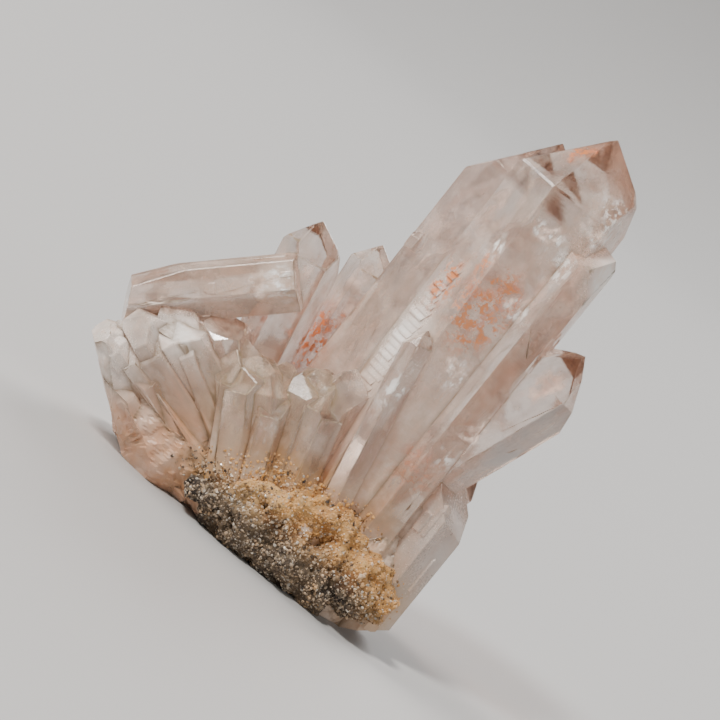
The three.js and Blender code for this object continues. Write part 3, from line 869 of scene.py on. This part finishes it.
def inside_crystal(points, middle, spec, margin):
    """Draws points back towards middle until they lie inside the crystal."""
    normals, offsets = crystal_planes(spec, -margin)
    start = normals @ middle - offsets
    moves = (points - middle) @ normals.T
    room = np.where(moves > 1e-9, -start / np.maximum(moves, 1e-9), np.inf)
    share = np.clip(room.min(1), 0, 1)
    return middle + (points - middle) * share[:, None]


def ring_faces(rings, spokes):
    """Triangles from point 0 to the first ring of points, and quads from ring to ring."""
    around = [(spoke, (spoke + 1) % spokes) for spoke in range(spokes)]
    fan = [(0, 1 + s, 1 + n) for s, n in around]
    starts = range(1, 1 + (rings - 1) * spokes, spokes)
    quads = [(a + s, a + spokes + s, a + spokes + n, a + n) for a in starts for s, n in around]
    return fan, quads


def sheet_object(name, spec, middle, normal, size, seed, wave):
    """A thin wavy sheet inside a crystal, with an uneven outline."""
    middle = np.array(middle, float)
    normal = unit(normal)
    side = unit(np.cross(normal, (0.3, 0.2, 0.93)))
    other = np.cross(normal, side)
    rings = 12
    spokes = 40
    points = [middle]
    for ring in range(1, rings + 1):
        for spoke in range(spokes):
            angle = 2 * math.pi * spoke / spokes
            edge = 1 + 0.28 * math.sin(2 * angle + seed) + 0.18 * math.sin(5 * angle + 2.3 * seed)
            reach = ring / rings * edge
            points.append(middle + side * math.cos(angle) * size[0] * reach
                          + other * math.sin(angle) * size[1] * reach)
    points = np.array(points)
    points += normal * (wave * smooth_noise(points / 3.0, seed))[:, None]
    deep = spec["root"] * 0.4 + spec["tip"] * 0.6
    start = inside_crystal(middle[None], deep, spec, 0.5)[0]
    points = inside_crystal(points + (start - middle), start, spec, 0.3)
    faces, quads = ring_faces(rings, spokes)
    for a, b, c, d in quads:
        faces += [(a, b, c), (a, c, d)]
    made = mesh_object(name, points, faces)
    edge = np.zeros(len(points))
    edge[1:] = np.repeat(np.arange(1, rings + 1) / rings, spokes)
    put_colours(made.data, "marks", edge[np.array(faces).ravel()][:, None])
    return made


def join(objects, name):
    shape = bmesh.new()
    for obj in objects:
        shape.from_mesh(obj.data)
        bpy.data.objects.remove(obj)
    return bmesh_object(name, shape)


class Graph:
    """Short calls that add nodes to one node tree."""

    def __init__(self, tree):
        self.tree = tree

    def add(self, kind, inputs=None, **props):
        made = self.tree.nodes.new("ShaderNode" + kind)
        for name, value in props.items():
            setattr(made, name, value)
        for name, value in (inputs or {}).items():
            self.put(made.inputs[name], value)
        return made

    def put(self, socket, value):
        if isinstance(value, bpy.types.NodeSocket):
            self.tree.links.new(value, socket)
        else:
            socket.default_value = value

    def maths(self, operation, a, b, clamp=False):
        made = self.add("Math", {0: a, 1: b}, operation=operation, use_clamp=clamp)
        return made.outputs[0]

    def plus(self, a, b, clamp=False):
        return self.maths("ADD", a, b, clamp)

    def times(self, a, b, clamp=False):
        return self.maths("MULTIPLY", a, b, clamp)

    def scaled(self, vector, factors):
        made = self.add("VectorMath", {0: vector, 1: factors}, operation="MULTIPLY")
        return made.outputs[0]

    def noise(self, vector, scale, detail=4.0, roughness=0.55):
        made = self.add("TexNoise", {"Vector": vector, "Scale": scale, "Detail": detail,
                                               "Roughness": roughness})
        return made.outputs["Fac"]

    def spread(self, value, low, high, to_low=0.0, to_high=1.0):
        made = self.add("MapRange", {"Value": value, "From Min": low, "From Max": high,
                                               "To Min": to_low, "To Max": to_high})
        return made.outputs[0]

    def mix(self, factor, a, b, blend="MIX"):
        made = self.add("Mix", data_type="RGBA", blend_type=blend)
        for socket, value in ((made.inputs[0], factor), (made.inputs[6], a), (made.inputs[7], b)):
            self.put(socket, value)
        return made.outputs[2]

    def attribute(self, name, output):
        return self.add("Attribute", attribute_name=name).outputs[output]

    def channels(self, name):
        """The red, green and blue of a painted attribute."""
        return self.add("SeparateColor", {0: self.attribute(name, "Color")}).outputs

    def place(self):
        return self.add("TexCoord").outputs["Object"]

    def bump(self, height, strength, distance):
        made = self.add("Bump", {"Strength": strength, "Distance": distance,
                                           "Height": height})
        return made.outputs[0]

    def principled(self, **inputs):
        spaced = {name.replace("_", " "): value for name, value in inputs.items()}
        return self.add("BsdfPrincipled", spaced).outputs[0]

    def mix_shaders(self, factor, first, second):
        return self.add("MixShader", {0: factor, 1: first, 2: second}).outputs[0]

    def show(self, **outputs):
        self.add("OutputMaterial", outputs)


def new_material(name):
    material = bpy.data.materials.new(name)
    material.use_nodes = True
    material.node_tree.nodes.clear()
    return material, Graph(material.node_tree)


def marks_group():
    """Haze, roughness, milky colour and the relief of a growing quartz face."""
    tree = bpy.data.node_groups.new("quartz_marks", "ShaderNodeTree")
    for label in ("Haze", "Roughness", "Colour", "Height"):
        kind = "NodeSocketColor" if label == "Colour" else "NodeSocketFloat"
        tree.interface.new_socket(label, in_out="OUTPUT", socket_type=kind)
    g = Graph(tree)
    grain = g.attribute("grain", "Vector")
    upright, rough, haze = g.channels("marks")
    clouds = g.noise(grain, 0.16, 5.0, 0.6)
    wisps = g.noise(g.scaled(grain, (1.0, 1.0, 0.35)), 0.5, 6.0, 0.65)
    fine = g.noise(grain, 2.4, 3.0, 0.6)
    streaks = g.noise(g.scaled(grain, (0.16, 0.16, 2.6)), 1.0, 5.0, 0.7)
    etch = g.noise(g.scaled(grain, (1.0, 1.0, 0.5)), 1.1, 4.0, 0.6)
    crumbs = g.noise(grain, 0.7, 8.0, 0.72)
    shards = g.noise(g.scaled(grain, (1.0, 1.0, 0.6)), 0.8, 5.0, 0.6)

    cloudy = g.plus(g.spread(clouds, 0.35, 0.68, -0.3, 0.3), g.spread(wisps, 0.4, 0.7, -0.12, 0.3))
    loud = g.times(cloudy, g.spread(haze, 0.0, 1.0, 1.0, 0.25))
    total = g.plus(haze, loud, clamp=True)
    gloss = g.plus(rough, g.spread(fine, 0.4, 0.75, -0.02, 0.14), clamp=True)
    tint = g.attribute("tint", "Color")
    warm = g.mix(g.spread(wisps, 0.45, 0.7, 0.0, 0.5), tint, rgba(226, 190, 168), "MULTIPLY")
    colour = g.mix(g.spread(clouds, 0.5, 0.75, 0.0, 0.35), warm, rgba(230, 222, 216))

    rust, healed_glint, seam = g.channels("films")
    rusty = g.times(g.times(rust, 2.2, clamp=True), g.spread(crumbs, 0.46, 0.56), clamp=True)
    colour = g.mix(g.times(rusty, 0.9), colour, rgba(196, 112, 54))
    # Painted highlight: white patches at the healed fractures where light glints off them.
    bright = g.times(g.times(healed_glint, 1.6, clamp=True), g.spread(shards, 0.47, 0.6), clamp=True)
    colour = g.mix(bright, colour, rgba(246, 243, 238))
    # Painted shade: a dark brown line darkens the creases where crystals meet.
    seam_shade = g.times(g.maths("POWER", seam, 3.0), g.spread(wisps, 0.35, 0.6, 0.25, 0.9), clamp=True)
    colour = g.mix(seam_shade, colour, rgba(112, 92, 64))
    for cover in (seam_shade, rusty, g.times(bright, 0.85)):
        total = g.maths("MAXIMUM", total, cover)

    ribs = g.times(g.times(streaks, upright), 0.10)
    height = g.plus(ribs, g.times(etch, 0.05))
    height = g.plus(height, g.times(g.times(fine, rough), 0.22))
    out = tree.nodes.new("NodeGroupOutput")
    for socket, value in zip(out.inputs, (total, gloss, colour, height)):
        g.put(socket, value)
    return tree


def quartz_material():
    """Clear pink quartz that turns milky where its haze says so. The clear part lets light
    through to the floor."""
    material, g = new_material("pink_quartz")
    group = g.add("Group", node_tree=marks_group())
    haze, rough, colour, height = group.outputs[:4]
    bump = g.bump(height, 0.5, 0.001)
    clear = g.principled(Base_Color=rgba(250, 244, 241), Roughness=rough, IOR=QUARTZ_IOR,
                         Transmission_Weight=1.0, Normal=bump)
    milky = g.principled(Base_Color=colour, Roughness=rough, IOR=QUARTZ_IOR, Normal=bump)
    lit = g.add("BsdfTransparent", {"Color": rgba(244, 226, 218)}).outputs[0]
    shadow = g.add("LightPath").outputs["Is Shadow Ray"]
    surface = g.mix_shaders(haze, g.mix_shaders(shadow, clear, lit), milky)
    absorb = g.add("VolumeAbsorption", {"Color": (0.72, 0.60, 0.51, 1.0), "Density": 44.0})
    g.show(Surface=surface, Volume=absorb.outputs[0])
    return material


def veil_material(name, colour, scale, low, high, most, roughness=0.5):
    """A thin veil: how much it covers comes from noise, and it thins out to its edge."""
    material, g = new_material(name)
    mask = g.spread(g.noise(g.place(), scale, 6.0, 0.65), low, high, 0.0, most)
    fade = g.spread(g.channels("marks")[0], 0.55, 1.0, 1.0, 0.0)
    alpha = g.times(mask, fade, clamp=True)
    g.show(Surface=g.principled(Base_Color=colour, Roughness=roughness, Alpha=alpha))
    return material


def crust_material():
    """Earthy matrix, dull brown on the lower left and golden ochre on the right and above."""
    material, g = new_material("ochre_matrix")
    place = g.place()
    broad = g.noise(place, 140.0, 5.0, 0.6)
    fine = g.noise(place, 900.0, 4.0, 0.6)
    x, _, z = g.add("SeparateXYZ", {0: place}).outputs
    golden = g.plus(g.spread(x, 0.026, 0.034), g.spread(z, 0.006, 0.012), clamp=True)
    dull = g.mix(g.spread(broad, 0.4, 0.62), rgba(44, 35, 28), rgba(104, 86, 66))
    bright = g.mix(g.spread(broad, 0.4, 0.62), rgba(150, 100, 50), rgba(200, 158, 100))
    earthy = g.mix(golden, dull, bright)
    colour = g.mix(g.spread(fine, 0.5, 0.7, 0.0, 0.5), earthy, rgba(186, 164, 132))
    g.show(Surface=g.principled(Base_Color=colour, Roughness=0.82, Normal=g.bump(fine, 0.9, 0.0006)))
    return material


def grain_material():
    """Grain tones: red is how ochre, green how dark and blue how glassy white a grain is."""
    material, g = new_material("matrix_grain")
    ochre, dark, white = g.channels("marks")
    colour = g.mix(ochre, rgba(168, 154, 136), rgba(202, 150, 84))
    colour = g.mix(dark, colour, rgba(56, 44, 34))
    colour = g.mix(g.spread(white, 0.55, 0.9, 0.0, 0.7), colour, rgba(216, 208, 194))
    rough = g.spread(white, 0.0, 1.0, 0.7, 0.16)
    g.show(Surface=g.principled(Base_Color=colour, Roughness=rough, IOR=QUARTZ_IOR))
    return material


def give(obj, material, node=None):
    obj.data.materials.clear()
    obj.data.materials.append(material)
    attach(obj, "root")
    if node:
        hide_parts(node)


def smooth_with_edges(mesh, degrees):
    mesh.shade_smooth()
    mesh.set_sharp_from_angle(angle=math.radians(degrees))


def crust_share(points, normals):
    """Where grains sit on the crust: most of them face the front."""
    return np.clip(-normals[:, 1] + 0.4, 0.1, 1)


def druse_share(points, normals):
    """Where grains sit on the quartz itself: the ochre parts of the front."""
    share = np.zeros(len(points))
    for middle, radii, amount in DRUSE:
        share += blob(points, middle, radii) * amount
    return share * np.clip(0.5 - normals[:, 1], 0, 1) + 1e-9


def grain_tones(spots, rng):
    """Grains are dark with pale sparkle on the lower left, ochre and cream on the right and above."""
    golden = np.clip((spots[:, 2] - 6) / 6, 0, 1) + np.clip((spots[:, 0] - 56) / 8, 0, 1)
    golden = np.clip(golden + 0.45 * smooth_noise(spots / 2.4, 83), 0, 1)
    chance = rng.uniform(0, 1, (3, len(spots)))
    ochre = np.clip(golden * 0.75 + chance[0] * 0.35, 0, 1)
    dark = (chance[1] < 0.62 - 0.5 * golden) * rng.uniform(0.5, 1.0, len(spots))
    return np.stack((ochre, dark, chance[2] ** (3 - golden)), 1)


def grains_on(mesh, name, grains, wanted, rng):
    spots, ways = spots_on(mesh, grains["number"], rng, wanted)
    sizes = grains["least"] + grains["spread"] * rng.uniform(0, 1, grains["number"]) ** 2
    return grain_shapes(name, spots, ways, sizes, grain_tones(spots, rng), rng)


def sheets(table, name, first_seed, wave):
    made = [sheet_object(name, CRYSTALS[crystal_name], *place, seed, wave)
            for seed, (crystal_name, *place) in enumerate(table, first_seed)]
    return join(made, name)


def bowl_object():
    """A wide floor that turns up into a gentle slope far from the part."""
    slope = math.radians(BOWL["slope"])
    profile = [(BOWL["flat"], 0.0)]
    for step in range(1, BOWL["steps"] + 1):
        angle = slope * step / BOWL["steps"]
        out = BOWL["flat"] + BOWL["bend"] * math.sin(angle)
        profile.append((out, BOWL["bend"] * (1 - math.cos(angle))))
    start, height = profile[-1]
    profile.append((BOWL["reach"], height + (BOWL["reach"] - start) * math.tan(slope)))
    points = [(0.0, 0.0, 0.0)]
    for reach, height in profile:
        for spoke in range(BOWL["around"]):
            angle = 2 * math.pi * spoke / BOWL["around"]
            points.append((reach * math.cos(angle), reach * math.sin(angle), height))
    fan, quads = ring_faces(len(profile), BOWL["around"])
    made = mesh_object("studio_floor", np.array(points), fan + quads)
    made.data.shade_smooth()
    return made


def area_light(name, place, size, power, colour):
    data = bpy.data.lights.new(name, "AREA")
    data.shape = "DISK"
    data.size = size
    data.energy = power
    data.color = colour
    made = new_object(name, data)
    made.location = place
    made.rotation_euler = (AIM - Vector(place)).to_track_quat("-Z", "Y").to_euler()


def photo_camera():
    """The camera looks down and is rolled, as in the photograph."""
    down = math.radians(CAMERA["down"])
    roll = math.radians(CAMERA["roll"])
    look = Vector((0, math.cos(down), -math.sin(down)))
    level_up = Vector((0, math.sin(down), math.cos(down)))
    right = Vector((1, 0, 0)) * math.cos(roll) + level_up * math.sin(roll)
    up = Vector((-1, 0, 0)) * math.sin(roll) + level_up * math.cos(roll)
    data = bpy.data.cameras.new("photo_camera")
    data.lens = CAMERA["lens"]
    data.sensor_width = CAMERA["sensor"]
    data.clip_start = CAMERA["nearest"]
    made = new_object("photo_camera", data)
    turn = Matrix((right, up, -look)).transposed().to_4x4()
    made.matrix_world = Matrix.Translation(AIM - look * CAMERA["distance"]) @ turn
    return made


def as_lists(bounds):
    """Bounds with their corners as plain lists."""
    if isinstance(bounds, (list, tuple, Vector)):
        return [as_lists(value) for value in bounds]
    return float(bounds)


CRYSTALS = {name: crystal(*row) for name, row in {**POINTS, **BLOCKS, **FILLERS}.items()}
GROWTHS = parallel_growths(np.random.default_rng(12))
FAMILY = list(CRYSTALS.items()) + GROWTHS

rng = np.random.default_rng(4)
body = quartz_body(rng)
refine(body.data, BODY_EDGE)
_, middles, normals = face_table(body.data)
owner, upright = owners_of(middles, normals)
roughen(body.data, owner)
paint(body.data, owner, upright)
smooth_with_edges(body.data, 14)

crust = crust_object()
refine(crust.data, CRUST_EDGE)
crust_grains = grains_on(crust.data, "crust_grains", CRUST_GRAINS, crust_share, rng)
druse_grains = grains_on(body.data, "druse_grains", DRUSE_GRAINS, druse_share, rng)
smooth_with_edges(crust.data, 40)

veils = sheets(VEILS, "inner_veils", 1, 0.9)
stains = sheets(STAINS, "iron_stain", 21, 0.4)
glints = sheets(GLINTS, "fracture_glints", 31, 0.8)

quartz_low, quartz_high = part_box("quartz_cluster")
crust_low, crust_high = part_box("matrix_crust")
for piece in (body, druse_grains, veils, stains, glints):
    in_metres(piece)
    stay_inside(piece, quartz_low, quartz_high)
for piece in (crust, crust_grains):
    in_metres(piece)
    stay_inside(piece, crust_low, crust_high)

grain_look = grain_material()
veil_look = veil_material("veil", rgba(226, 210, 200), 210.0, 0.4, 0.62, 0.8)
stain_look = veil_material("iron_film", rgba(196, 112, 58), 520.0, 0.44, 0.6, 0.8, 0.7)
# Painted highlight: white sheets where light glints off fractures.
glint_look = veil_material("fracture_highlight", rgba(250, 248, 244), 420.0, 0.4, 0.58, 0.9, 0.3)
give(body, quartz_material(), "quartz_cluster")
give(crust, crust_material(), "matrix_crust")
give(crust_grains, grain_look)
give(druse_grains, grain_look)
give(veils, veil_look)
give(stains, stain_look)
give(glints, glint_look)

floor = bowl_object()
floor_look, g = new_material("pale_floor")
g.show(Surface=g.principled(Base_Color=rgba(176, 174, 172), Roughness=0.75))
floor.data.materials.append(floor_look)
floor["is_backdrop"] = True

for light in LIGHTS:
    area_light(*light)
world = bpy.data.worlds.new("studio_world")
world.use_nodes = True
background = world.node_tree.nodes["Background"].inputs
background["Color"].default_value = WORLD["colour"]
background["Strength"].default_value = WORLD["strength"]
bpy.context.scene.world = world
bpy.context.scene.camera = photo_camera()

{"at_load": as_lists(bounds_at_load), "at_end": as_lists(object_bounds())}
